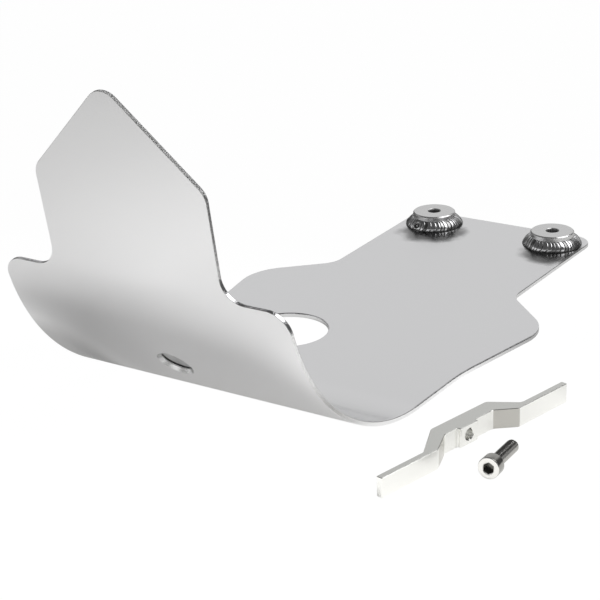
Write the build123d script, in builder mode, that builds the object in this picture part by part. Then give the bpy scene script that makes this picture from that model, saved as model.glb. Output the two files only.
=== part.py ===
from build123d import *
from math import atan2, cos, pi, radians, sin
import os

# Motorcycle skid plate, in millimetres. Its flat floor lies on z = 0, +Y points to the rear of the machine,
# +X to the rider's left, and the origin is on the underside, midway between the two rear bolt holes.

# Aluminium sheet with one large bend
sheet = 3.0
sheet_arris = 0.4
bend_radius = 138.5
bend_angle = 81.3
bolt_line_to_bend = 295.0

# Floor outline: half widths, and distances of its corners from the rear bolt line
bolt_line_to_rear = 22.7
tail_half_width = 76.0
tail_corner_radius = 15.0
bolt_line_to_notch = 111.0
notch_half_width = 74.3
notch_radius = 18.0
bolt_line_to_step = 153.0
step_half_width = 119.2
step_radius = 37.0
bolt_line_to_flare = 243.0
flare_half_width = 103.0
flare_radius = 130.0

# Shield outline: heights are measured along the shield from the end of the bend
wing_half_width = 100.0
wing_drop = 7.3
wing_tip_radius = 13.8
waist_radius = 14.5
shield_half_width = 58.7
shoulder_height = 56.6
shoulder_radius = 12.0
apex_height = 113.2
apex_radius = 12.0

# Drain hole under the engine's drain plug, off the centreline
drain_radius = 28.7
drain_x = -35.0
bolt_line_to_drain = 235.8

# Socket head screw, the size that every bolt hole is made for
thread_radius = 4.0
thread_depth = 0.6
screw_length = 30.0
screw_tip_chamfer = 0.8
head_radius = 6.5
head_height = 8.0
head_chamfer = 0.6
socket_across_flats = 6.0
socket_depth = 4.0

# Turned bosses: two at the rear, one on the centreline inside the bend
bolt_spacing = 102.0
boss_radius = 16.5
boss_height = 10.0
boss_chamfer = 0.8
bolt_clearance = 0.5
tool_clearance = 5.0
front_boss_angle = 50.3

# Fillet welds round the bosses, laid as a row of overlapping scales
bead_leg = 5.7
bead_root = 1.5
bead_scales = 32
bead_facet_angle = 45
scale_taper = 8.0
scale_overlap = 1.2

# Clamp bar, lying on its lower edge beside the plate
bar_gap = 54.2
bolt_line_to_bar = 323.4
bar_turn = 12.8
bar_height = 12.5
bar_half_length = 82.0
bar_arm = 4.3
bar_front_half = 21.5
bar_front_slope = 14.5
bar_front_shift = 2.5
bar_front_recess = 9.8
bar_middle = 10.8
bar_back_half = 24.5
bar_back_slope = 19.0
bar_back_shift = 5.5
bar_edge_radius = 0.8
bar_root_radius = 4.0
bar_arris = 0.3
pad_half_width = 7.8
pad_rise = 2.3

# Clamp screw, lying beside the bar on the rim of its head and on its tip
screw_gap = 80.2
bolt_line_to_screw = 349.0
screw_turn = 5.5

# Places that the sizes above lead to
bend_y = -bolt_line_to_bend
bend_end_y = bend_y - bend_radius * sin(radians(bend_angle))
bend_end_z = bend_radius * (1 - cos(radians(bend_angle)))
inner_bend_radius = bend_radius - sheet
front_y = bend_end_y - apex_height
trim_half_width = step_half_width + sheet
trim_height = 2 * (bend_radius + apex_height)
shield_plane = Plane(
    origin=(0, bend_end_y, bend_end_z),
    x_dir=(1, 0, 0),
    z_dir=(0, -sin(radians(bend_angle)), -cos(radians(bend_angle))),
)
bolt_hole_radius = thread_radius + bolt_clearance
head_recess_radius = head_radius + tool_clearance
boss_web = sheet + boss_height - head_height
scale_pitch = 2 * pi * (boss_radius + bead_leg) / bead_scales
front_inward = Vector(0, sin(radians(front_boss_angle)), cos(radians(front_boss_angle)))
front_seat = Plane(
    origin=Vector(0, bend_y, bend_radius) - front_inward * inner_bend_radius,
    x_dir=(1, 0, 0),
    z_dir=front_inward,
)
left_seat = Plane(origin=(bolt_spacing / 2, 0, sheet))
right_seat = Plane(origin=(-bolt_spacing / 2, 0, sheet))
bar_plane = Plane(
    origin=(wing_half_width + bar_gap, -bolt_line_to_bar, 0),
    x_dir=(sin(radians(bar_turn)), cos(radians(bar_turn)), 0),
    z_dir=(0, 0, 1),
)
tapped_hole_radius = thread_radius - thread_depth
bar_front_y = bar_front_recess - bar_arm
bar_back_y = bar_front_y + bar_middle
pad_plane = Plane(
    origin=bar_plane.from_local_coords((0, bar_front_y - pad_rise, bar_height / 2)),
    x_dir=bar_plane.x_dir,
    z_dir=-bar_plane.y_dir,
)
screw_tilt = atan2(head_radius - thread_radius, screw_length - screw_tip_chamfer)
screw_plane = Plane(
    origin=(wing_half_width + screw_gap, -bolt_line_to_screw, head_radius * cos(screw_tilt)),
    x_dir=(cos(radians(screw_turn)), sin(radians(screw_turn)), 0),
    z_dir=(
        -sin(radians(screw_turn)) * cos(screw_tilt),
        cos(radians(screw_turn)) * cos(screw_tilt),
        -sin(screw_tilt),
    ),
)

os.makedirs("parts", exist_ok=True)

# The plate: a bent section across the full width, trimmed to the floor's plan and to the shield's outline
with BuildPart() as skid_plate:
    with BuildSketch(Plane.YZ) as section:
        with BuildLine() as outer_face:
            floor = Line((bolt_line_to_rear, 0), (bend_y, 0))
            bend = JernArc(floor @ 1, floor % 1, bend_radius, -bend_angle)
            Line(bend @ 1, bend @ 1 + (bend % 1) * apex_height)
            offset(amount=sheet, side=Side.RIGHT)
        make_face()
    extrude(amount=trim_half_width, both=True)
    with BuildSketch(Plane.XY.offset(-sheet)) as floor_plan:
        with BuildLine():
            side_slope = (flare_half_width - wing_half_width) / (-bolt_line_to_flare - bend_end_y)
            edge = FilletPolyline(
                (0, bolt_line_to_rear),
                (tail_half_width, bolt_line_to_rear),
                (notch_half_width, -bolt_line_to_notch),
                (step_half_width, -bolt_line_to_step),
                (flare_half_width, -bolt_line_to_flare),
                (wing_half_width + side_slope * (front_y - bend_end_y), front_y),
                radius=[tail_corner_radius, notch_radius, step_radius, flare_radius],
            )
            Polyline(edge @ 1, (0, front_y), edge @ 0)
        make_face()
        mirror(about=Plane.YZ)
    extrude(amount=trim_height, mode=Mode.INTERSECT)
    with BuildSketch(shield_plane) as shield_front:
        with BuildLine():
            crown = FilletPolyline(
                (-trim_half_width, -wing_drop),
                (-shield_half_width, -wing_drop),
                (-shield_half_width, shoulder_height),
                (0, apex_height),
                (shield_half_width, shoulder_height),
                (shield_half_width, -wing_drop),
                (trim_half_width, -wing_drop),
                radius=[waist_radius, shoulder_radius, apex_radius, shoulder_radius, waist_radius],
            )
            Polyline(crown @ 1, (trim_half_width, -trim_height), (-trim_half_width, -trim_height), crown @ 0)
        make_face()
    extrude(amount=trim_height, both=True, mode=Mode.INTERSECT)
    thickness_edges = skid_plate.edges().filter_by(lambda edge: edge.length < 1.5 * sheet)
    for side in (-1, 1):
        tip = shield_plane.from_local_coords((side * wing_half_width, -wing_drop, 0))
        fillet(thickness_edges.sort_by_distance(tip)[0], wing_tip_radius)
    bend_seams = skid_plate.edges().filter_by(Axis.X).filter_by(
        lambda edge: edge.length > shield_half_width and edge.center().Y < bend_y + sheet
    )
    with Locations((drain_x, -bolt_line_to_drain)):
        Hole(drain_radius)
    arrises = skid_plate.edges().filter_by(lambda edge: edge.length > 1.5 * sheet) - bend_seams
    chamfer(arrises, sheet_arris)
    with Locations(left_seat, right_seat, front_seat):
        Hole(head_recess_radius, depth=2 * sheet)
skid_plate.part.label = "skid_plate"
export_step(skid_plate.part, "parts/skid_plate.step")

# The room on the sheet's inner side, which trims the foot of everything that is welded to it
with BuildPart() as inner_room:
    with BuildSketch(Plane.YZ) as room_section:
        with BuildLine():
            floor = Line((bolt_line_to_rear + boss_radius, sheet), (bend_y, sheet))
            bend = JernArc(floor @ 1, floor % 1, inner_bend_radius, -bend_angle)
            Polyline(bend @ 1, ((floor @ 0).X, bend_end_z), floor @ 0)
        make_face()
    extrude(amount=trim_half_width, both=True)

# One scale of a fillet weld, drawn across the corner of boss and sheet and thickest at its leading end
with BuildPart() as weld_scale:
    with BuildSketch(Plane.XZ) as scale_section:
        with BuildLine():
            facets = [radians(angle) for angle in range(0, 91, bead_facet_angle)]
            crown = [(bead_leg * cos(facet), bead_leg * sin(facet)) for facet in facets]
            root = [(-bead_root, bead_leg), (-bead_root, -bead_root), (bead_leg, -bead_root)]
            Polyline(*crown, *root, close=True)
        make_face()
    extrude(amount=scale_overlap * scale_pitch, taper=scale_taper)


def turned_boss(seat: Plane) -> BuildPart:
    """A round boss on its seat, bored for the bolt and recessed from below for the bolt's head."""
    with BuildPart() as boss:
        with BuildSketch(seat.offset(-boss_height)) as foot:
            Circle(boss_radius)
        extrude(amount=2 * boss_height)
        with Locations(-seat.offset(-boss_height)):
            CounterBoreHole(bolt_hole_radius, head_recess_radius, 2 * boss_height - boss_web)
        top = boss.faces().sort_by(Axis(seat.origin, seat.z_dir))[-1]
        chamfer(top.outer_wire().edges(), boss_chamfer)
        add(inner_room.part, mode=Mode.INTERSECT)
    return boss


def weld_bead(seat: Plane) -> BuildPart:
    """A fillet weld round a boss: a ring of overlapping scales, trimmed by the boss and by the sheet."""
    with BuildPart() as bead:
        with Locations(seat):
            with PolarLocations(boss_radius, bead_scales):
                add(weld_scale.part)
            Cylinder(boss_radius, 4 * bead_leg, mode=Mode.SUBTRACT)
        add(inner_room.part, mode=Mode.INTERSECT)
    return bead


# Each boss stands on the inner face of the sheet, with its weld in the corner round its foot
for place, seat in (("left", left_seat), ("right", right_seat), ("front", front_seat)):
    boss = turned_boss(seat)
    boss.part.label = f"{place}_boss"
    export_step(boss.part, f"parts/{place}_boss.step")
    bead = weld_bead(seat)
    bead.part.label = f"{place}_weld_bead"
    export_step(bead.part, f"parts/{place}_weld_bead.step")

# The clamp bar: milled from thick bar, two thin arms either side of a set-back middle with a tapped pad
with BuildPart() as clamp_bar:
    with BuildSketch(bar_plane) as bar_plan:
        with BuildLine():
            FilletPolyline(
                (-bar_half_length, 0),
                (-bar_half_length, -bar_arm),
                (-bar_front_half - bar_front_slope, -bar_arm),
                (-bar_front_half + bar_front_shift, bar_front_y),
                (-pad_half_width, bar_front_y),
                (-pad_half_width, bar_front_y - pad_rise),
                (pad_half_width, bar_front_y - pad_rise),
                (pad_half_width, bar_front_y),
                (bar_front_half + bar_front_shift, bar_front_y),
                (bar_front_half + bar_front_slope, -bar_arm),
                (bar_half_length, -bar_arm),
                (bar_half_length, 0),
                (bar_back_half + bar_back_slope, 0),
                (bar_back_half + bar_back_shift, bar_back_y),
                (-bar_back_half + bar_back_shift, bar_back_y),
                (-bar_back_half - bar_back_slope, 0),
                radius=[bar_edge_radius] * 3
                + [bar_root_radius] + [bar_edge_radius] * 4 + [bar_root_radius]
                + [bar_edge_radius] * 3
                + [bar_root_radius] * 4,
                close=True,
            )
        make_face()
    extrude(amount=bar_height)
    chamfer(clamp_bar.faces().filter_by(Axis.Z).edges(), bar_arris)
    with Locations(pad_plane):
        CounterSinkHole(tapped_hole_radius, thread_radius, depth=pad_rise + bar_middle, counter_sink_angle=90)
clamp_bar.part.label = "clamp_bar"
export_step(clamp_bar.part, "parts/clamp_bar.step")

# The clamp screw: a socket head cap screw, headed and rolled from one rod
with BuildPart() as clamp_screw:
    with BuildSketch(screw_plane) as rod:
        Circle(thread_radius)
    extrude(amount=screw_length)
    along_screw = Axis(screw_plane.origin, screw_plane.z_dir)
    chamfer(clamp_screw.faces().sort_by(along_screw)[-1].edges(), screw_tip_chamfer)
    with BuildSketch(screw_plane) as head:
        Circle(head_radius)
    extrude(amount=-head_height)
    chamfer(clamp_screw.faces().sort_by(along_screw)[0].edges(), head_chamfer)
    with BuildSketch(screw_plane.offset(-head_height)) as socket:
        RegularPolygon(socket_across_flats / 2, side_count=6, major_radius=False)
    extrude(amount=socket_depth, mode=Mode.SUBTRACT)
clamp_screw.part.label = "clamp_screw"
export_step(clamp_screw.part, "parts/clamp_screw.step")
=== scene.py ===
"""A motorcycle skid plate on a pale studio floor: one bent aluminium sheet with welded bolt bosses, and the
clamp bar and screw that belong to it lying beside it. Metres; +Y is the motorcycle's rear and +Z is up."""

import bpy
import numpy as np
from mathutils import Matrix, Vector
from mathutils.geometry import delaunay_2d_cdt


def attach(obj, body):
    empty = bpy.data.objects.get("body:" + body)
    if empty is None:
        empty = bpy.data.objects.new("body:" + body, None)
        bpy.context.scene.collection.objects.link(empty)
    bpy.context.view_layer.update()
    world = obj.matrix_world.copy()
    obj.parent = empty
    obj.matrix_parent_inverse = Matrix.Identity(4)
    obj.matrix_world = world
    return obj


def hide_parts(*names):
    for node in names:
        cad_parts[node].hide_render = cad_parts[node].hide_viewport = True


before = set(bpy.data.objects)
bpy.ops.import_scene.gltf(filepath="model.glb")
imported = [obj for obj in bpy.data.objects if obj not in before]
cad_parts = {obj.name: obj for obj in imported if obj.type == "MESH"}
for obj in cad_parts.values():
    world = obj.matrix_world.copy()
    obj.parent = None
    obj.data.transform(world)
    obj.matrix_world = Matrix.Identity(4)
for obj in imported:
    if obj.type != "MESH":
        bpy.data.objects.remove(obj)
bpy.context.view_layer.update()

# The guard itself: one sheet of 3 mm aluminium, cut flat with a pointed nose, wings and a narrow tail,
# drilled, and rolled once so that the nose stands up as a shield. Its faces are satin and its edges filed,
# apart from the sloping sides of the nose, which are left as sawn.

MM = 0.001

sheet_thickness = 3.0 * MM
outer_arris = 0.3 * MM
inner_arris = 0.9 * MM
edge_land = 0.9 * MM
bend_radius = 138.5 * MM
bend_angle = np.radians(81.3)
bend_start_y = -295 * MM
bend_length = bend_radius * bend_angle

# The corners down one side of the floor: how far out, how far ahead of the rear bolts, and the radius.
tail_corner = (76 * MM, -22.7 * MM, 15 * MM)
notch_corner = (74.3 * MM, 111 * MM, 18 * MM)
step_corner = (119.2 * MM, 153 * MM, 37 * MM)
flare_corner = (103 * MM, 243 * MM, 130 * MM)

wing_half_width = 100 * MM
wing_drop = 7.3 * MM
wing_tip_radius = 13.8 * MM
shield_half_width = 58.7 * MM
waist_radius = 14.5 * MM
shoulder_height = 56.6 * MM
apex_height = 113.2 * MM
shoulder_radius = 12 * MM
sawn_start = bend_length + shoulder_height - 6 * MM
sawn_blend = 10 * MM

drain_centre = (-35 * MM, 235.8 * MM)
drain_radius = 28.7 * MM
bolt_half_spacing = 51 * MM
lip_radius = 9.9 * MM
lip_bevel = 2.1 * MM
lip_patches = 6
front_bolt_angle = np.radians(50.3)

grid_row = 4 * MM
grid_column = 9 * MM
grid_half_width = 117 * MM
grid_clearance = 2.5 * MM
bend_margin = 6 * MM


def rounded_loop(corners, radii, step, turn=np.radians(5)):
    """A closed outline of straight runs joined by tangent arcs: the arc at a corner touches both runs at its
    radius over the tangent of half the corner's angle. Points lie about one turn apart on the arcs and one
    step apart on the runs."""
    corners, radii = np.array(corners, dtype=float), np.array(radii, dtype=float)
    to_last = np.roll(corners, 1, axis=0) - corners
    to_next = np.roll(corners, -1, axis=0) - corners
    to_last /= np.linalg.norm(to_last, axis=1, keepdims=True)
    to_next /= np.linalg.norm(to_next, axis=1, keepdims=True)
    half_angle = np.arccos(np.clip((to_last * to_next).sum(axis=1), -1, 1)) / 2
    reach = (radii / np.tan(half_angle))[:, None]
    starts, ends = corners + to_last * reach, corners + to_next * reach
    bisector = (to_last + to_next) / np.linalg.norm(to_last + to_next, axis=1, keepdims=True)
    centres = corners + bisector * (radii / np.sin(half_angle))[:, None]
    runs = []
    for i, (start, end, centre) in enumerate(zip(starts, ends, centres)):
        first = np.arctan2(*(start - centre)[::-1])
        sweep = (np.arctan2(*(end - centre)[::-1]) - first + np.pi) % (2 * np.pi) - np.pi
        angle = first + sweep * np.linspace(0, 1, int(np.ceil(abs(sweep) / turn)) + 1)
        runs.append(centre + radii[i] * np.stack([np.cos(angle), np.sin(angle)], axis=1))
        straight = starts[(i + 1) % len(starts)] - end
        pieces = int(np.ceil(np.linalg.norm(straight) / step))
        runs.append(end + straight * (np.arange(1, pieces) / max(pieces, 1))[:, None])
    return np.vstack(runs)


def along_sheet(ahead):
    """Length along the flat pattern, from the start of the bend, of a place on the floor that lies so far
    ahead of the rear bolts. It is negative behind the bend."""
    return ahead + bend_start_y


def round_hole(x, s, radius):
    """A circle on the flat pattern, with a point every five degrees."""
    angle = np.radians(np.arange(0, 360, 5))
    return np.stack([x + radius * np.cos(angle), s + radius * np.sin(angle)], axis=1)


def bend_frame(s):
    """The angle turned through at a length s from the start of the bend, the sheet's direction of travel
    there, and the direction from its outer to its inner face."""
    angle = np.clip(s / bend_radius, 0, bend_angle)
    zero = np.zeros_like(angle)
    along = np.stack([zero, -np.cos(angle), np.sin(angle)], axis=-1)
    inward = np.stack([zero, np.sin(angle), np.cos(angle)], axis=-1)
    return angle, along, inward


def bent(flat, depth):
    """Carries points of the flat pattern (x across, s along) onto the bent sheet, at a depth from its outer
    face: level behind the bend, round an arc of the bend radius, then straight on up the shield."""
    x, s = flat[..., 0], flat[..., 1]
    angle, _, inward = bend_frame(s)
    beyond = np.maximum(s - bend_length, 0)
    y = bend_start_y - np.minimum(s, 0) - bend_radius * np.sin(angle) - beyond * np.cos(angle)
    z = bend_radius * (1 - np.cos(angle)) + beyond * np.sin(angle)
    return np.stack([x, y, z], axis=-1) + inward * np.asarray(depth)[..., None]


def outward_from(loop, hole):
    """Unit normals of a closed flat outline that point out of the metal: the tangent turned a quarter,
    towards the outside of the sheet or into the hole."""
    tangent = np.roll(loop, -1, axis=0) - np.roll(loop, 1, axis=0)
    normal = np.stack([tangent[:, 1], -tangent[:, 0]], axis=1)
    area = (loop[:, 0] * np.roll(loop[:, 1], -1) - np.roll(loop[:, 0], -1) * loop[:, 1]).sum()
    normal *= np.sign(area) * (-1 if hole else 1)
    return normal / np.linalg.norm(normal, axis=1, keepdims=True)


def inside(points, loop):
    """Which points lie in a closed outline: a ray from each crosses it an odd number of times."""
    x, y = points[:, :1], points[:, 1:]
    x1, y1 = loop[:, 0], loop[:, 1]
    x2, y2 = np.roll(x1, -1), np.roll(y1, -1)
    rise = np.where(y2 == y1, 1e-12, y2 - y1)
    crossing = ((y1 > y) != (y2 > y)) & (x < x1 + (y - y1) * (x2 - x1) / rise)
    return crossing.sum(axis=1) % 2 == 1


def facing_out(points, normals, faces):
    """The same faces, each wound so that its own normal agrees with the normals of its corners."""
    corner = points[faces]
    cross = np.cross(corner[:, 1] - corner[:, 0], corner[:, 2] - corner[:, 0])
    inward = (cross * normals[faces].sum(axis=1)).sum(axis=1) < 0
    return np.where(inward[:, None], faces[:, ::-1], faces)


def new_piece(name, points, faces, normals=None, **marks):
    """A smooth-shaded mesh object at the origin, with its own corner normals where they are known, and one
    value per point for each mark that its finish reads."""
    mesh = bpy.data.meshes.new(name)
    mesh.from_pydata(points.tolist(), [], faces if isinstance(faces, list) else faces.tolist())
    mesh.shade_smooth()
    for mark, values in marks.items():
        attribute = mesh.attributes.new(mark, "FLOAT", "POINT")
        attribute.data.foreach_set("value", np.ravel(values).astype(np.float32))
    if normals is not None:
        mesh.normals_split_custom_set_from_vertices(normals.tolist())
    piece = bpy.data.objects.new(name, mesh)
    bpy.context.scene.collection.objects.link(piece)
    return piece


def edge_profile(width):
    """The section of a cut edge, as rows of distance in from the edge, depth through the sheet, and the two
    parts of the outward normal: a rounded arris at the outer face, the edge itself, and a rounded arris at
    the inner face. An edge wider than the usual land has a bevel of 45 degrees at the outer face."""
    turn = np.radians(np.linspace(0, 90, 5))
    quarter = np.stack([1 - np.sin(turn), 1 - np.cos(turn)], axis=1)
    leaning = np.stack([np.sin(turn), -np.cos(turn)], axis=1)
    outer = np.hstack([quarter * outer_arris, leaning])
    inner = np.hstack([quarter * inner_arris * [1, -1] + [0, sheet_thickness], leaning * [1, -1]])[::-1]
    if width > edge_land:
        soft, slope = 0.12 * MM, np.sqrt(0.5)
        outer = np.array([
            [width - soft, soft / 3, slope, -slope],
            [soft, width - soft, slope, -slope],
            [0, width + soft / 3, 1, 0],
        ])
    return np.vstack([outer, inner])


def bent_sheet(outline, holes):
    """The sheet: the flat pattern is filled with triangles once and bent at both faces, and the section of
    its edge is carried round the outline and each hole, given as an outline and a width of edge. The rows of
    the filling are close on the bend and three times as far apart elsewhere. The mark finish is 0 on the
    faces, a half on a filed edge and 1 on a sawn one, and goes to and fro between these two round a lip, in
    patches that are partly a rougher finish and partly a painted reflection."""
    loops = [outline] + [loop for loop, _ in holes]
    widths = [edge_land] + [width for _, width in holes]
    outs = [outward_from(loop, hole=i > 0) for i, loop in enumerate(loops)]
    rings = [loop - out * width for loop, out, width in zip(loops, outs, widths)]

    rows = np.arange(outline[:, 1].min(), outline[:, 1].max(), grid_row)
    on_bend = (rows > -bend_margin) & (rows < bend_length + bend_margin)
    rows = rows[on_bend | (np.arange(len(rows)) % 3 == 0)]
    columns = np.arange(-grid_half_width, grid_half_width + MM, grid_column)
    grid = np.stack(np.meshgrid(columns, rows), axis=-1).reshape(-1, 2)
    grid = grid[inside(grid, rings[0])]
    for ring in rings:
        away = np.linalg.norm(grid[:, None] - ring[None], axis=2).min(axis=1)
        grid = grid[away > grid_clearance]
    for ring in rings[1:]:
        grid = grid[~inside(grid, ring)]

    flat = np.vstack([*rings, grid])
    starts = np.cumsum([0] + [len(ring) for ring in rings])
    edges = [
        (int(start + i), int(start + (i + 1) % len(ring)))
        for start, ring in zip(starts, rings) for i in range(len(ring))
    ]
    _, _, filled, origins, _, _ = delaunay_2d_cdt([Vector(p) for p in flat.tolist()], edges, [], 1, 1e-9)
    triangles = np.array([ids[0] for ids in origins])[np.array(filled)]
    middles = flat[triangles].mean(axis=1)
    for ring in rings[1:]:
        keep = ~inside(middles, ring)
        triangles, middles = triangles[keep], middles[keep]

    count = len(flat)
    inward = bend_frame(flat[:, 1])[2]
    points = [bent(flat, 0), bent(flat, sheet_thickness)]
    normals = [-inward, inward]
    faces = [triangles, triangles + count]
    finish = [np.zeros(2 * count)]
    total = 2 * count
    for loop, out, start, width in zip(loops, outs, starts, widths):
        inset, depth, sideways, through = edge_profile(width).T[:, :, None]
        edge = loop - out * inset[..., None]
        _, along, across = bend_frame(edge[..., 1])
        sidelong = out[:, :1] * np.array([1.0, 0, 0]) + out[:, 1:] * along
        points.append(bent(edge, depth).reshape(-1, 3))
        normals.append((sidelong * sideways[..., None] + across * through[..., None]).reshape(-1, 3))
        nose = np.clip((edge[..., 1] - sawn_start) / sawn_blend, 0, 1)
        # Round a lip the finish goes to and fro in patches: rougher metal, and paler and greyer as painted
        # reflection.
        patches = 0.5 - 0.5 * np.cos(lip_patches * 2 * np.pi * np.arange(len(loop)) / len(loop))
        sawn = np.where(start == 0, nose, patches * (width > edge_land))
        finish.append((np.minimum(2 * sideways, 1) * (0.5 + 0.5 * sawn)).ravel())
        own = total + np.arange(sawn.size).reshape(sawn.shape)
        around = start + np.arange(len(loop))
        a = np.vstack([around, own, count + around])
        b = np.roll(a, -1, axis=1)
        faces.append(np.stack([a[:-1], b[:-1], b[1:]], axis=-1).reshape(-1, 3))
        faces.append(np.stack([a[:-1], b[1:], a[1:]], axis=-1).reshape(-1, 3))
        total += sawn.size
    points, normals, faces = np.vstack(points), np.vstack(normals), np.vstack(faces)
    faces = facing_out(points, normals, faces)
    return new_piece("bent_sheet", points, faces, normals, finish=np.concatenate(finish))


wing_angle = bend_angle - np.arcsin(wing_drop / bend_radius)
side_corners = [tail_corner, notch_corner, step_corner, flare_corner]
left_side = [(x, along_sheet(ahead)) for x, ahead, _ in side_corners] + [
    (wing_half_width, bend_radius * wing_angle),
    (shield_half_width, bend_radius * wing_angle),
    (shield_half_width, bend_length + shoulder_height),
]
left_radii = [radius for _, _, radius in side_corners] + [wing_tip_radius, waist_radius, shoulder_radius]
outline = rounded_loop(
    left_side + [(0, bend_length + apex_height)] + [(-x, s) for x, s in reversed(left_side)],
    left_radii + [shoulder_radius] + left_radii[::-1],
    step=4 * MM,
)
sheet = bent_sheet(
    outline,
    [
        (round_hole(drain_centre[0], along_sheet(drain_centre[1]), drain_radius), edge_land),
        (round_hole(bolt_half_spacing, along_sheet(0), lip_radius), lip_bevel),
        (round_hole(-bolt_half_spacing, along_sheet(0), lip_radius), lip_bevel),
        (round_hole(0, bend_radius * front_bolt_angle, lip_radius), lip_bevel),
    ],
)


def add_node(tree, kind, inputs=None, **settings):
    """A shader node with its settings made, and each named input given a value or linked to a socket."""
    node = tree.nodes.new(kind)
    for key, value in settings.items():
        setattr(node, key, value)
    for key, value in (inputs or {}).items():
        if isinstance(value, bpy.types.NodeSocket):
            tree.links.new(value, node.inputs[key])
        else:
            node.inputs[key].default_value = value
    return node


def new_metal(name, colour, roughness):
    """A bare metal: a Principled shader with its colour and roughness set. Gives the material, its node tree
    and the shader."""
    material = bpy.data.materials.new(name)
    material.use_nodes = True
    shader = material.node_tree.nodes["Principled BSDF"]
    shader.inputs["Base Color"].default_value = (*colour, 1)
    shader.inputs["Metallic"].default_value = 1
    shader.inputs["Roughness"].default_value = roughness
    return material, material.node_tree, shader


def marked(tree, mark):
    """A piece's own mark, as a mask."""
    return add_node(tree, "ShaderNodeAttribute", attribute_name=mark).outputs["Fac"]


def own_place(tree):
    """The place on the piece in its own metres, which are the frame's."""
    return add_node(tree, "ShaderNodeTexCoord").outputs["Object"]


def height_of(tree, place):
    """The part of a place or a direction that points up."""
    return add_node(tree, "ShaderNodeSeparateXYZ", {0: place}).outputs["Z"]


def reckoned(tree, operation, *values):
    """A number worked out from numbers, each a value or a socket."""
    return add_node(tree, "ShaderNodeMath", dict(enumerate(values)), operation=operation).outputs["Value"]


def moved(tree, operation, *values):
    """A place worked out from places, each a value or a socket."""
    node = add_node(tree, "ShaderNodeVectorMath", dict(enumerate(values)), operation=operation)
    return node.outputs["Vector"]


def measured(tree, operation, *values):
    """A number worked out from places: a length or a dot product."""
    node = add_node(tree, "ShaderNodeVectorMath", dict(enumerate(values)), operation=operation)
    return node.outputs["Value"]


def reach_from(tree, place, centre, stretch):
    """The distance of a place from a centre in plan, with x and y stretched first, so that places at equal
    reach lie on an ellipse."""
    offset = moved(tree, "SUBTRACT", place, (*centre, 0))
    return measured(tree, "LENGTH", moved(tree, "MULTIPLY", offset, (*stretch, 0)))


def fade(tree, value, start, end, low=0.0, high=1.0, smooth=False):
    """A number that goes from low to high as a value goes from start to end, evenly or with soft ends."""
    limits = {"Value": value, "From Min": start, "From Max": end, "To Min": low, "To Max": high}
    easing = "SMOOTHSTEP" if smooth else "LINEAR"
    return add_node(tree, "ShaderNodeMapRange", limits, interpolation_type=easing).outputs["Result"]


def shaded(tree, mask, *stops):
    """A colour that a mask from 0 to 1 picks from a row of (mask, colour) stops."""
    ramp = add_node(tree, "ShaderNodeValToRGB", {"Fac": mask})
    elements = ramp.color_ramp.elements
    elements[0].position, elements[0].color = stops[0][0], (*stops[0][1], 1)
    elements[1].position, elements[1].color = stops[-1][0], (*stops[-1][1], 1)
    for position, colour in stops[1:-1]:
        elements.new(position).color = (*colour, 1)
    return ramp.outputs["Color"]


def grey(level):
    """A colour with no hue."""
    return (level, level, level)


def covered(tree, mask, under, over):
    """A colour laid over a shade as far as a mask says. The Mix node's colours are its inputs 6 and 7."""
    node = add_node(tree, "ShaderNodeMix", {"Factor": mask, 6: under, 7: (*over, 1)}, data_type="RGBA")
    return node.outputs[2]


satin_colour = (0.80, 0.80, 0.81)
filed_colour = (0.86, 0.86, 0.87)
sawn_colour = grey(0.66)
satin_roughness = 0.19
filed_roughness = 0.13
sawn_roughness = 0.22
saw_tooth_scale = 620
saw_tooth_start = 0.42
saw_tooth_depth = 1.5 * MM

# A patch of soot, which also paints the dark reflection of the weld bead, darkens the inner face before each
# rear boss. Its centre is measured from the bolt.
soot_and_reflection_colour = grey(0.12)
soot_and_reflection_share = 0.92
soot_and_reflection_centre = (9 * MM, -19 * MM)
soot_and_reflection_core = 25 * MM
soot_and_reflection_rim = 36.8 * MM
soot_and_reflection_drift = 14.7 * MM
soot_and_reflection_drift_scale = 70

satin_sheet, tree, shader = new_metal("satin_sheet", satin_colour, satin_roughness)
finish = marked(tree, "finish")
place = own_place(tree)
edge_shades = shaded(tree, finish, (0, satin_colour), (0.5, filed_colour), (1, sawn_colour))

# Wrapping the width at the bolts' spacing measures each place from the nearer rear bolt.
by_bolt = moved(tree, "ADD", place, (bolt_half_spacing, 0, 0))
by_bolt = moved(tree, "WRAP", by_bolt, (bolt_half_spacing, 1, 1), (-bolt_half_spacing, -1, -1))
drift = add_node(tree, "ShaderNodeTexNoise", {"Vector": place, "Scale": soot_and_reflection_drift_scale, "Detail": 2})
from_soot_and_reflection = reach_from(tree, by_bolt, soot_and_reflection_centre, (1, 1))
from_soot_and_reflection = reckoned(tree, "MULTIPLY_ADD", drift.outputs["Fac"], soot_and_reflection_drift, from_soot_and_reflection)
soot = fade(tree, from_soot_and_reflection, soot_and_reflection_rim, soot_and_reflection_core, high=soot_and_reflection_share, smooth=True)
on_inner_face = fade(tree, height_of(tree, place), sheet_thickness - MM, sheet_thickness - 0.1 * MM)
sheet_shades = covered(tree, reckoned(tree, "MULTIPLY", soot, on_inner_face), edge_shades, soot_and_reflection_colour)
tree.links.new(sheet_shades, shader.inputs["Base Color"])
polish = shaded(
    tree, finish, (0, grey(satin_roughness)), (0.5, grey(filed_roughness)), (1, grey(sawn_roughness))
)
tree.links.new(polish, shader.inputs["Roughness"])
teeth = add_node(
    tree, "ShaderNodeTexNoise", {"Vector": place, "Scale": saw_tooth_scale, "Detail": 3, "Roughness": 0.65}
)
tooth_depth = fade(tree, finish, saw_tooth_start, 1, high=saw_tooth_depth)
tooth_height = reckoned(tree, "MULTIPLY", teeth.outputs["Fac"], tooth_depth)
bump = add_node(tree, "ShaderNodeBump", {"Height": tooth_height, "Distance": 1.0, "Strength": 1.0})
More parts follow.
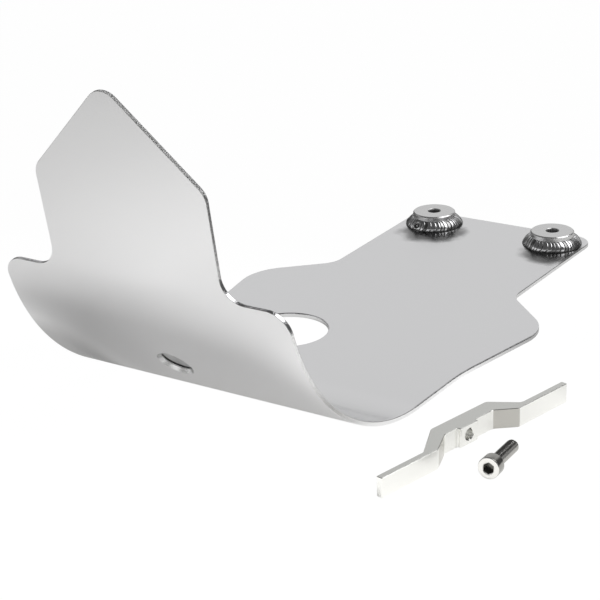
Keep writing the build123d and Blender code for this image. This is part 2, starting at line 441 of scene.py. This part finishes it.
tree.links.new(bump.outputs["Normal"], shader.inputs["Normal"])
sheet.data.materials.append(satin_sheet)
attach(sheet, "root")
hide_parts("skid_plate")

# The bolt bosses: three turned aluminium rings welded to the inside of the sheet, two at the rear and one
# behind the bend. Each has a bolt hole with a chamfer, and its foot is bored out for the bolt's head.

boss_radius = 16.5 * MM
boss_height = 10 * MM
boss_chamfer = 0.8 * MM
boss_steps = 120
bolt_hole_radius = 4.5 * MM
bolt_recess_radius = 11.5 * MM
recess_depth = 5 * MM
recess_shadow = 1.3 * MM
inner_bend_radius = bend_radius - sheet_thickness

front_flat = np.array([0, bend_radius * front_bolt_angle])
front_inward = bend_frame(front_flat[1])[2]
front_axes = np.stack([[1.0, 0, 0], np.cross(front_inward, [1.0, 0, 0]), front_inward])

# A seat: where the middle of a boss's foot stands, its axes, and the radius that the sheet is rolled to.
seats = {
    "left": (np.array([bolt_half_spacing, 0, sheet_thickness]), np.eye(3), np.inf),
    "right": (np.array([-bolt_half_spacing, 0, sheet_thickness]), np.eye(3), np.inf),
    "front": (bent(front_flat, sheet_thickness), front_axes, inner_bend_radius),
}


def rise_of_sheet(across, radius):
    """How far a sheet rolled to a radius rises above its tangent plane, at a distance across its roll."""
    return 0 * across if np.isinf(radius) else radius - np.sqrt(radius**2 - across**2)


def carried_round(name, r, z, seat, closed, **marks):
    """A profile (r out from the axis, z along it, both free to change round the turn) carried round the axis
    of a seat. A closed profile makes a ring; an open one is capped flat at both ends."""
    origin, axes, _ = seat
    angle = 2 * np.pi * np.arange(r.shape[1]) / r.shape[1]
    points = np.stack([r * np.cos(angle), r * np.sin(angle), z], axis=-1) @ axes + origin
    index = np.arange(r.size).reshape(r.shape)
    rows = np.vstack([index, index[:1]]) if closed else index
    onward = np.roll(rows, -1, axis=1)
    faces = np.stack([rows[:-1], onward[:-1], onward[1:], rows[1:]], axis=-1).reshape(-1, 4).tolist()
    if not closed:
        faces += [index[0][::-1].tolist(), index[-1].tolist()]
    return new_piece(name, points.reshape(-1, 3), faces, **marks)


# The mark bored is 0 on a boss's top, and has these values on its wall, in its recess and bore, and low in
# the recess, where little light comes. The wall and the recess are painted paler than the top as a
# highlight, and the bore and the low recess are painted darker as shade.
wall_mark = 0.25
recess_mark = 0.5
bore_mark = 0.85
shadow_mark = 1.0
turned_colour = grey(0.71)
painted_highlight_colour = grey(0.93)
shadow_colour = grey(0.05)
turned_roughness = 0.2
shadow_roughness = 0.8

turned_metal, tree, shader = new_metal("turned_metal", turned_colour, turned_roughness)
bored = marked(tree, "bored")
boss_shades = shaded(
    tree, bored,
    (0, turned_colour), (wall_mark, painted_highlight_colour),
    (recess_mark, painted_highlight_colour), (shadow_mark, shadow_colour),
)
tree.links.new(boss_shades, shader.inputs["Base Color"])
boss_polish = fade(tree, bored, 0, shadow_mark, turned_roughness, shadow_roughness)
tree.links.new(boss_polish, shader.inputs["Roughness"])
boss_profile = rounded_loop(
    [
        (bolt_recess_radius, 0), (boss_radius, 0), (boss_radius, boss_height - boss_chamfer),
        (boss_radius - boss_chamfer, boss_height), (bolt_hole_radius + boss_chamfer, boss_height),
        (bolt_hole_radius, boss_height - boss_chamfer), (bolt_hole_radius, recess_depth),
        (bolt_recess_radius, recess_depth),
    ],
    np.array([0.1, 0.1, 0.25, 0.25, 0.2, 0.2, 0.2, 0.4]) * MM,
    step=0.75 * MM, turn=np.radians(15),
)
boss_turn = 2 * np.pi * np.arange(boss_steps) / boss_steps
boss_r, boss_z = np.broadcast_arrays(boss_profile[:, :1], boss_profile[:, 1:] + 0 * boss_turn)
in_bore = boss_r < bolt_hole_radius + 0.7 * boss_chamfer
in_recess = (boss_r < bolt_recess_radius + 0.05 * MM) & (boss_z < recess_depth + 0.05 * MM)
on_wall = (boss_r > boss_radius - 0.5 * boss_chamfer) & (boss_z < boss_height - 0.3 * boss_chamfer)
in_shadow = in_recess & (boss_z < recess_shadow)
boss_marks = np.select(
    [in_bore, in_shadow, in_recess, on_wall], [bore_mark, shadow_mark, recess_mark, wall_mark]
)
for side, seat in seats.items():
    fit = rise_of_sheet(boss_r * np.sin(boss_turn), seat[2]) * np.clip(1 - boss_z / boss_height, 0, 1) ** 2
    boss = carried_round(f"{side}_turned_boss", boss_r, boss_z + fit, seat, closed=True, bored=boss_marks)
    boss.data.set_sharp_from_angle(angle=np.radians(40))
    boss.data.materials.append(turned_metal)
    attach(boss, "root")
    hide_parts(f"{side}_boss")

# The weld round each boss: a fillet of aluminium laid by hand, a ring of overlapping ripples with one crater
# where it was started and stopped. Its colour is painted dark between the ripples and bright on their
# crests, as shade and highlight.

bead_foot = 6.3 * MM
bead_rise = 6.6 * MM
bead_slope = 1.3 * bead_rise
bead_ripples = 42
bead_wander = 0.4 * MM
bead_root = 0.4 * MM
bead_sink = 0.3 * MM
ripple_height = 0.5 * MM
ripple_bow = 0.55
crater_turns = {"left": np.radians(100), "right": np.radians(258), "front": np.radians(200)}
crater_across = 0.45
crater_reach = 3.0 * MM
crater_ring = 2.4 * MM


def rippled_bead(name, seat, crater_turn, seed):
    """A fillet weld round a boss: a rounded slope from the sheet to the boss wall that swells and dips once
    per ripple. A ripple's crest bows forward at the middle of the slope, and no two are quite the same size.
    Rings spread from a crater at its own turn round the boss. The mark crest is 1 on a crest, 0 in a dip."""
    random = np.random.RandomState(seed)
    angle = np.radians(np.arange(0, 360, 0.4))
    across = np.linspace(0, 1, 28)[:, None]
    bow = ripple_bow * (1 - (2 * across - 1) ** 2)
    uneven = sum(random.uniform(0.1, 0.3) * np.sin(k * angle + random.uniform(0, 6)) for k in (2, 5, 9))
    travel = bead_ripples * angle / (2 * np.pi) + uneven - bow
    ripple, count = travel % 1, np.floor(travel).astype(int) % bead_ripples
    size = random.uniform(0.45, 1.25, bead_ripples)[count]
    crest = (1 - np.abs(2 * ripple**0.7 - 1) ** 5) * np.clip(0.25 + 2.5 * across, 0, 1)
    wander = bead_wander * sum(np.sin(k * angle + random.uniform(0, 6)) for k in (2, 3, 5)) / 3
    round_to_crater = boss_radius * ((angle - crater_turn + np.pi) % (2 * np.pi) - np.pi)
    from_crater = np.hypot(round_to_crater, (across - crater_across) * bead_slope)
    near = np.exp(-((from_crater / crater_reach) ** 2))
    rings = np.cos(2 * np.pi * from_crater / crater_ring)
    swell = ripple_height * (size * crest * (1 - near) + near * rings)
    crest = crest * np.clip(size, 0, 1) * (1 - near) + near * (0.5 + 0.5 * rings)
    quarter = across * np.pi / 2
    r = boss_radius + (bead_foot - ripple_height + swell + wander) * np.cos(quarter) ** 1.5
    z = (bead_rise - ripple_height + swell + 0.5 * wander) * np.sin(quarter) ** 1.5
    level = np.ones((1, len(angle)))
    r = np.vstack([(boss_radius - bead_root) * level, r[:1], r, (boss_radius - bead_root) * level])
    z = np.vstack([-bead_sink * level, -bead_sink * level, z, z[-1:]])
    crest = np.vstack([0 * level, 0 * level, crest, 0 * level])
    z = z + rise_of_sheet(r * np.sin(angle), seat[2])
    return carried_round(name, r, z, seat, closed=True, crest=crest)


# Painted shade in the dips and on the flanks, and a painted highlight on the crests.
dip_shade_colour = grey(0.08)
flank_shade_colour = grey(0.3)
crest_highlight_colour = (0.85, 0.85, 0.86)
dip_roughness = 0.34
crest_roughness = 0.14
weld_metal, tree, shader = new_metal("weld_metal", crest_highlight_colour, crest_roughness)
crest = marked(tree, "crest")
weld_shades = shaded(tree, crest, (0.2, dip_shade_colour), (0.5, flank_shade_colour), (0.85, crest_highlight_colour))
tree.links.new(weld_shades, shader.inputs["Base Color"])
tree.links.new(fade(tree, crest, 0, 1, dip_roughness, crest_roughness), shader.inputs["Roughness"])
for seed, (side, seat) in enumerate(seats.items()):
    bead = rippled_bead(f"{side}_rippled_bead", seat, crater_turns[side], seed)
    bead.data.materials.append(weld_metal)
    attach(bead, "root")
    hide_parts(f"{side}_weld_bead")

# The clamp bar: milled from aluminium bar, with a set-back middle and a raised pad tapped for the screw. It
# lies flat beside the guard. Its top and the slopes to its set-back middle are painted greyer than its long
# faces, as shade.

bar_height = 12.5 * MM
bar_half_length = 82 * MM
bar_place = np.array([154.2, -323.4]) * MM
bar_turn = np.radians(12.8)
bar_middle = 1.25 * MM
slope_start = 22.55 * MM
slope_end = 35.5 * MM
shade_blend = 0.25 * MM
milled_colour = (0.90, 0.90, 0.876)
# The slopes and the top are painted darker as shade.
slope_shade_colour = (0.54, 0.53, 0.50)
top_shade_colour = (0.745, 0.747, 0.72)
milled_roughness = 0.24

milled_metal, tree, shader = new_metal("milled_metal", milled_colour, milled_roughness)
place = own_place(tree)
bar_heading = np.array([np.sin(bar_turn), np.cos(bar_turn)])
along_bar = measured(tree, "DOT_PRODUCT", place, (*bar_heading, 0))
from_middle = reckoned(tree, "SUBTRACT", along_bar, bar_heading @ bar_place + bar_middle)
arm = fade(tree, reckoned(tree, "ABSOLUTE", from_middle), 0, bar_half_length)
side_shades = shaded(
    tree, arm,
    ((slope_start - shade_blend) / bar_half_length, milled_colour),
    ((slope_start + shade_blend) / bar_half_length, slope_shade_colour),
    ((slope_end - shade_blend) / bar_half_length, slope_shade_colour),
    ((slope_end + shade_blend) / bar_half_length, milled_colour),
)
on_top = fade(tree, height_of(tree, place), bar_height - shade_blend, bar_height)
tree.links.new(covered(tree, on_top, side_shades, top_shade_colour), shader.inputs["Base Color"])
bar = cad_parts["clamp_bar"]
bar.data.materials.clear()
bar.data.materials.append(milled_metal)

# The clamp screw: a stainless socket-head screw, cold-headed, broached with a hexagon and rolled with a
# thread up to the head. It lies on the rim of its head and on its tip.

thread_radius = 4 * MM
thread_depth = 0.45 * MM
thread_pitch = 1.25 * MM
screw_length = 30 * MM
screw_tip_chamfer = 0.8 * MM
head_radius = 6.5 * MM
head_height = 8 * MM
head_round = 0.6 * MM
socket_half_flats = 3 * MM
socket_depth = 4 * MM
socket_mouth = 3.7 * MM
neck_fillet = 0.35 * MM
screw_steps = 96
screw_head_place = (180.2 * MM, -349 * MM)
screw_lean = np.arctan2(head_radius - thread_radius, screw_length - screw_tip_chamfer)
screw_turn = np.radians(5.5)

screw_axis = np.array([
    -np.sin(screw_turn) * np.cos(screw_lean), np.cos(screw_turn) * np.cos(screw_lean), -np.sin(screw_lean)
])
screw_side = np.cross([0, 0, 1.0], screw_axis)
screw_side /= np.linalg.norm(screw_side)
screw_seat = (
    np.array([*screw_head_place, head_radius * np.cos(screw_lean)]),
    np.stack([screw_side, np.cross(screw_axis, screw_side), screw_axis]),
    np.inf,
)


def socket_screw(seat):
    """The screw as one profile carried round its axis: up the hexagon socket, whose radius is half its flats
    over the cosine of the angle from the nearest flat, over the rounded head, under it and down the thread,
    a ridge that climbs one pitch per turn. Its mark is painted shade: 1 at the foot of the socket, 0 on the
    head's face, about a half on its side, and higher in the roots of the thread than on its ridge."""
    angle = 2 * np.pi * np.arange(screw_steps) / screw_steps
    circle = np.ones(screw_steps)
    hexagon = socket_half_flats / np.cos((angle + np.pi / 6) % (np.pi / 3) - np.pi / 6)
    countersunk = np.maximum(hexagon, socket_mouth - 0.08 * MM)
    socket_r = np.stack([0.9 * hexagon, hexagon, hexagon, countersunk, socket_mouth * circle])
    socket_z = np.array([socket_depth, socket_depth, 0.25 * MM, 0.04 * MM, 0])[:, None] - head_height
    socket_dark = np.array([1, 1, 0.6, 0, 0])[:, None]
    turn = np.radians(np.linspace(0, 90, 6))[:, None]
    head_r = head_radius - head_round + head_round * np.sin(turn)
    head_z = head_round * (1 - np.cos(turn)) - head_height
    head_dark = 0.5 * np.sin(turn) ** 4
    rim = 0.3 * MM
    under_r = np.array([head_radius, head_radius - rim, thread_radius + neck_fillet, thread_radius])[:, None]
    under_z = np.array([-rim, 0, 0, neck_fillet])[:, None]
    along = np.arange(0.9 * MM, screw_length, thread_pitch / 10)[:, None]
    climb = np.abs(2 * ((along / thread_pitch - angle / (2 * np.pi)) % 1) - 1)
    root = np.clip(1.25 * climb - 0.1, 0, 1)
    thread_r = np.minimum(
        thread_radius - thread_depth * root, thread_radius - screw_tip_chamfer + (screw_length - along)
    )
    parts = [
        (socket_r, socket_z, socket_dark),
        (head_r, head_z, head_dark),
        (under_r, under_z, 0.45 + 0 * under_r),
        (thread_r, along, 0.2 + 0.6 * root),
        (thread_r[-1:] - 0.2 * MM, np.array([[screw_length]]), np.array([[0.3]])),
    ]
    r, z, sooty = (np.vstack([rows * circle for rows in column]) for column in zip(*parts))
    return carried_round("socket_screw", r, z, seat, closed=False, sooty=sooty)


# The socket, the side and underside of the head and the roots of the thread are painted darker as shade.
steel_colour = (0.88, 0.87, 0.85)
dulled_shade_colour = (0.34, 0.335, 0.32)
socket_shade_colour = (0.12, 0.118, 0.11)
steel_roughness = 0.18
stainless, tree, shader = new_metal("stainless", steel_colour, steel_roughness)
sooty = marked(tree, "sooty")
screw_shades = shaded(tree, sooty, (0, steel_colour), (0.5, dulled_shade_colour), (1, socket_shade_colour))
tree.links.new(screw_shades, shader.inputs["Base Color"])
screw = socket_screw(screw_seat)
screw.data.set_sharp_from_angle(angle=np.radians(35))
screw.data.materials.append(stainless)
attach(screw, "root")
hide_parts("clamp_screw")

# The studio: a broad floor of white paper, a pale surround that is screened off overhead and on three sides,
# two soft panels, and the camera. The camera sees the paper as white. In the metal the paper's colour and
# glow show a painted pool of light before the guard and a painted strip beside the tail, with a painted
# shadow by the right wing.

floor_half_width = 30
floor_drop = 0.3 * MM
paper_emission = 0.3
paper_glow = 1.02
paper_glow_share = 0.97
paper_tint = np.array([1, 0.997, 0.983])

# The painted pool's levels go by the reach from its centre, to which the painted shadow by the wing adds its
# depth. The painted strip of light by the tail has a reach of its own, and the shorter of the two counts.
pool_centre = (0.08, -0.5625)
pool_stretch = (1, 1.6)
wing_shadow_centre = (-0.15, -0.36)
wing_shadow_core = 0.03
wing_shadow_rim = 0.11
wing_shadow_depth = 0.25
tail_strip_centre = (0.09, -0.06)
tail_strip_stretch = (1.7, 0.6)
tail_strip_reach = 0.56
pool_levels = (
    (0.10, 0.83), (0.19, 0.96), (0.28, 0.87), (0.38, 0.76),
    (0.45, 0.74), (0.52, 0.80), (0.64, 0.34), (0.80, 0.08),
)

corner_signs = ((-1, -1), (1, -1), (1, 1), (-1, 1))
floor_mesh = bpy.data.meshes.new("floor")
floor_mesh.from_pydata(
    [(x * floor_half_width, y * floor_half_width, -floor_drop) for x, y in corner_signs], [], [(0, 1, 2, 3)]
)
floor = bpy.data.objects.new("floor", floor_mesh)
bpy.context.scene.collection.objects.link(floor)
paper = bpy.data.materials.new("white_paper")
paper.use_nodes = True
tree, matt = paper.node_tree, paper.node_tree.nodes["Principled BSDF"]
matt.inputs["Roughness"].default_value = 1
matt.inputs["Specular IOR Level"].default_value = 0
matt.inputs["Emission Strength"].default_value = paper_emission
place = own_place(tree)
from_wing_shadow = reach_from(tree, place, wing_shadow_centre, (1, 1))
wing_shadow = fade(tree, from_wing_shadow, wing_shadow_rim, wing_shadow_core, high=wing_shadow_depth)
reach = reckoned(tree, "ADD", reach_from(tree, place, pool_centre, pool_stretch), wing_shadow)
tail_reach = reach_from(tree, place, tail_strip_centre, tail_strip_stretch)
tail_reach = reckoned(tree, "ADD", tail_reach, tail_strip_reach)
reach = reckoned(tree, "MINIMUM", reach, tail_reach)
pool_shades = shaded(tree, reach, *((far, level * paper_tint) for far, level in pool_levels))
tree.links.new(pool_shades, matt.inputs["Base Color"])
tree.links.new(pool_shades, matt.inputs["Emission Color"])
glow = add_node(tree, "ShaderNodeEmission", {"Color": (1, 1, 1, 1), "Strength": paper_glow})
seen = add_node(tree, "ShaderNodeLightPath").outputs["Is Camera Ray"]
seen_share = reckoned(tree, "MULTIPLY", seen, paper_glow_share)
blend = add_node(
    tree, "ShaderNodeMixShader", {0: seen_share, 1: matt.outputs["BSDF"], 2: glow.outputs["Emission"]}
)
tree.links.new(blend.outputs["Shader"], tree.nodes["Material Output"].inputs["Surface"])
floor_mesh.materials.append(paper)

# The surround's levels go by how steeply one looks up. A screen is the way it lies, the cosines of the
# angles from it at which it begins and is full, and the share of light that it lets by.
sky_levels = ((0.0, 0.62), (0.25, 0.71), (0.5, 0.76), (0.62, 0.08))
screens = (
    ((-0.98, 0.17, 0), 0.72, 0.92, 0.15),
    ((0.8, 0.6, 0), 0.6, 0.8, 0.15),
    ((0.5, -0.86, 0), 0.78, 0.93, 0.2),
)
world = bpy.data.worlds.new("studio")
bpy.context.scene.world = world
world.use_nodes = True
tree, surround = world.node_tree, world.node_tree.nodes["Background"]
direction = add_node(tree, "ShaderNodeTexCoord").outputs["Generated"]
sky_shades = shaded(tree, height_of(tree, direction), *((climb, grey(level)) for climb, level in sky_levels))
tree.links.new(sky_shades, surround.inputs["Color"])
strength = 1.0
for heading, begins, full, level in screens:
    towards = measured(tree, "DOT_PRODUCT", direction, heading)
    let_by = fade(tree, towards, begins, full, 1.0, level, smooth=True)
    strength = reckoned(tree, "MULTIPLY", strength, let_by)
tree.links.new(strength, surround.inputs["Strength"])


def soft_panel(name, place, aim, size, power, in_reflections):
    """A square studio light at a place, turned to face a point, and seen or not in polished metal."""
    lamp = bpy.data.lights.new(name, "AREA")
    lamp.size = size
    lamp.energy = power
    panel = bpy.data.objects.new(name, lamp)
    towards = Vector(aim) - Vector(place)
    panel.matrix_world = Matrix.Translation(place) @ towards.to_track_quat("-Z", "Y").to_matrix().to_4x4()
    panel.visible_glossy = in_reflections
    bpy.context.scene.collection.objects.link(panel)


soft_panel("overhead", (2.42, 0.42, 2.3), (0, -0.3, 0), size=1.6, power=91, in_reflections=False)
soft_panel("right_panel", (0.88, 0.55, 1.65), (0.05, -0.2, 0.05), size=1.25, power=12, in_reflections=True)

bpy.context.scene.view_settings.view_transform = "Standard"

camera_place = (0.56577, -1.10555, 0.44902)
camera_right = (0.83625, 0.54697, -0.03884)
camera_up = (-0.17424, 0.33221, 0.92697)
camera_back = (0.51993, -0.76841, 0.37312)
lens = bpy.data.cameras.new("camera")
lens.lens = 101.33
lens.sensor_width = 36
camera = bpy.data.objects.new("camera", lens)
camera_axes = Matrix((camera_right, camera_up, camera_back)).transposed().to_4x4()
camera.matrix_world = Matrix.Translation(camera_place) @ camera_axes
bpy.context.scene.collection.objects.link(camera)
bpy.context.scene.camera = camera
